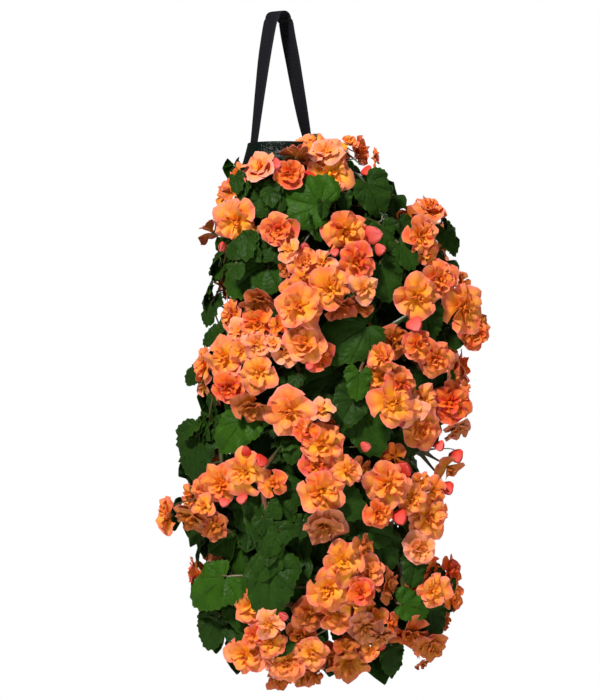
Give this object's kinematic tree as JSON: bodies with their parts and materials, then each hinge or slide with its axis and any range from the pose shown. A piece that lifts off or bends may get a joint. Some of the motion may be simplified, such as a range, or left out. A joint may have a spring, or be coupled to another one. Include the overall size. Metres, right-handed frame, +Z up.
{
  "type": "begonia hanging basket",
  "caption": "Tube-shaped hanging flower pouch on a webbing strap loop, filled with compost and planted all round with trailing double begonias.",
  "frame": {"origin": "underside of the strap loop at its top, where it rests on a hook", "axes": "+Z up along the hanging line, -Y towards the front as pictured, +X to the right seen from the front"},
  "size_m": [0.4158, 0.2799, 0.8505],
  "materials": {
    "strap": "matt woven webbing",
    "pouch": "satin woven film",
    "soil": "matt, crumbly",
    "leaf": "satin",
    "petal": "matt, slightly translucent"
  },
  "bodies": {
    "root": {"plant_back_lower": "leaf", "plant_back_upper": "leaf", "plant_bottom_left": "leaf", "plant_bottom_right": "leaf", "plant_centre_lower": "leaf", "plant_centre_middle": "leaf", "plant_centre_upper": "leaf", "plant_left_lower": "leaf", "plant_left_middle": "leaf", "plant_left_upper": "leaf", "plant_right_lower": "leaf", "plant_right_middle": "leaf", "plant_right_upper": "leaf", "plant_top_back": "leaf", "plant_top_left": "leaf", "plant_top_right": "leaf", "pouch": "pouch", "soil": "soil", "spray_back_centre_inner": "petal", "spray_back_centre_lower": "petal", "spray_back_centre_middle": "petal", "spray_back_left_middle": "petal", "spray_back_left_upper": "petal", "spray_back_low_centre_heart": "petal", "spray_back_right_bottom": "petal", "spray_back_right_single": "petal", "spray_back_right_upper": "petal", "spray_bottom_centre": "petal", "spray_bottom_left": "petal", "spray_bottom_left_tail": "petal", "spray_centre_inner": "petal", "spray_centre_lower": "petal", "spray_centre_lower_tail": "petal", "spray_centre_middle": "petal", "spray_centre_upper": "petal", "spray_left_lower": "petal", "spray_left_lower_tail": "petal", "spray_left_middle": "petal", "spray_left_middle_low": "petal", "spray_left_middle_top": "petal", "spray_left_upper": "petal", "spray_low_centre": "petal", "spray_low_centre_heart": "petal", "spray_low_centre_tail": "petal", "spray_right_bottom": "petal", "spray_right_bottom_tail": "petal", "spray_right_cluster": "petal", "spray_right_cluster_low": "petal", "spray_right_edge": "petal", "spray_right_edge_top": "petal", "spray_right_lower": "petal", "spray_right_middle": "petal", "spray_right_middle_low": "petal", "spray_right_single": "petal", "spray_right_top": "petal", "spray_right_upper": "petal", "spray_top_centre": "petal", "spray_top_left": "petal", "spray_top_right": "petal", "strap": "strap"}
  },
  "joints": []
}
